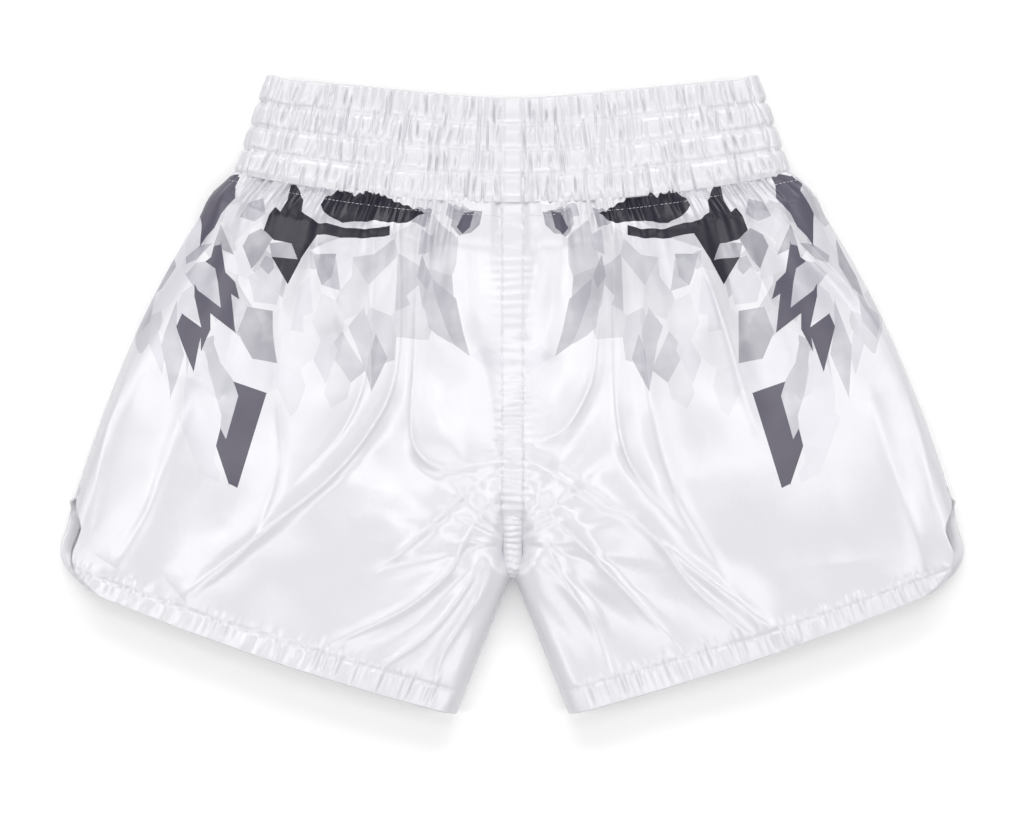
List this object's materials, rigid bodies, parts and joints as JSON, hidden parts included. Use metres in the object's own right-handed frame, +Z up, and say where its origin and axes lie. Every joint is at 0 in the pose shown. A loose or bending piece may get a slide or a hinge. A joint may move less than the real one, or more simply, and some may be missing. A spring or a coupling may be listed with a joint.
{
  "type": "boxing shorts",
  "caption": "Wide-cut satin boxing shorts lying flat, with a ruched elastic waistband, a printed body with a centre strip, and flared legs with hemmed side slits.",
  "frame": {"origin": "on the surface the shorts lie on, under the middle of their outline", "axes": "+X across, to the wearer's left side; +Y along, from the hems to the waist; +Z up, out of the front of the shorts"},
  "size_m": [0.6506, 0.4579, 0.036],
  "materials": {
    "satin": "satin",
    "lining": "matte",
    "elastic": "matte",
    "thread": "satin",
    "label": "satin"
  },
  "bodies": {
    "hips": {"waistband_casing": "satin", "waistband_lining": "lining", "elastic_band_1": "elastic", "elastic_band_2": "elastic", "elastic_band_3": "elastic", "elastic_band_4": "elastic", "waistband_stitch_1": "thread", "waistband_stitch_2": "thread", "waistband_stitch_3": "thread", "size_label": "label", "front_panel_left": "satin", "front_panel_right": "satin", "back_panel_left": "satin", "back_panel_right": "satin", "front_centre_strip": "satin", "back_centre_strip": "satin", "crotch_gusset": "satin", "side_seam_left": "lining", "side_seam_right": "lining"},
    "leg_left": {"leg_front_left": "satin", "leg_back_left": "satin", "front_hem_left": "satin", "back_hem_left": "satin", "inseam_left": "lining", "leg_side_seam_left": "lining", "slit_facing_front_left": "lining", "slit_facing_back_left": "lining", "slit_bartack_left": "thread"},
    "leg_right": {"leg_front_right": "satin", "leg_back_right": "satin", "front_hem_right": "satin", "back_hem_right": "satin", "inseam_right": "lining", "leg_side_seam_right": "lining", "slit_facing_front_right": "lining", "slit_facing_back_right": "lining", "slit_bartack_right": "thread"}
  },
  "joints": [
    {"name": "leg_left_lift", "type": "hinge", "parent": "hips", "child": "leg_left", "pos_m": [0, -0.13085, 0.036], "axis": [-0.9341, -0.3569, 0], "range_deg": [0, 100]},
    {"name": "leg_right_lift", "type": "hinge", "parent": "hips", "child": "leg_right", "pos_m": [0, -0.13085, 0.036], "axis": [-0.9341, 0.3569, 0], "range_deg": [0, 100]}
  ]
}
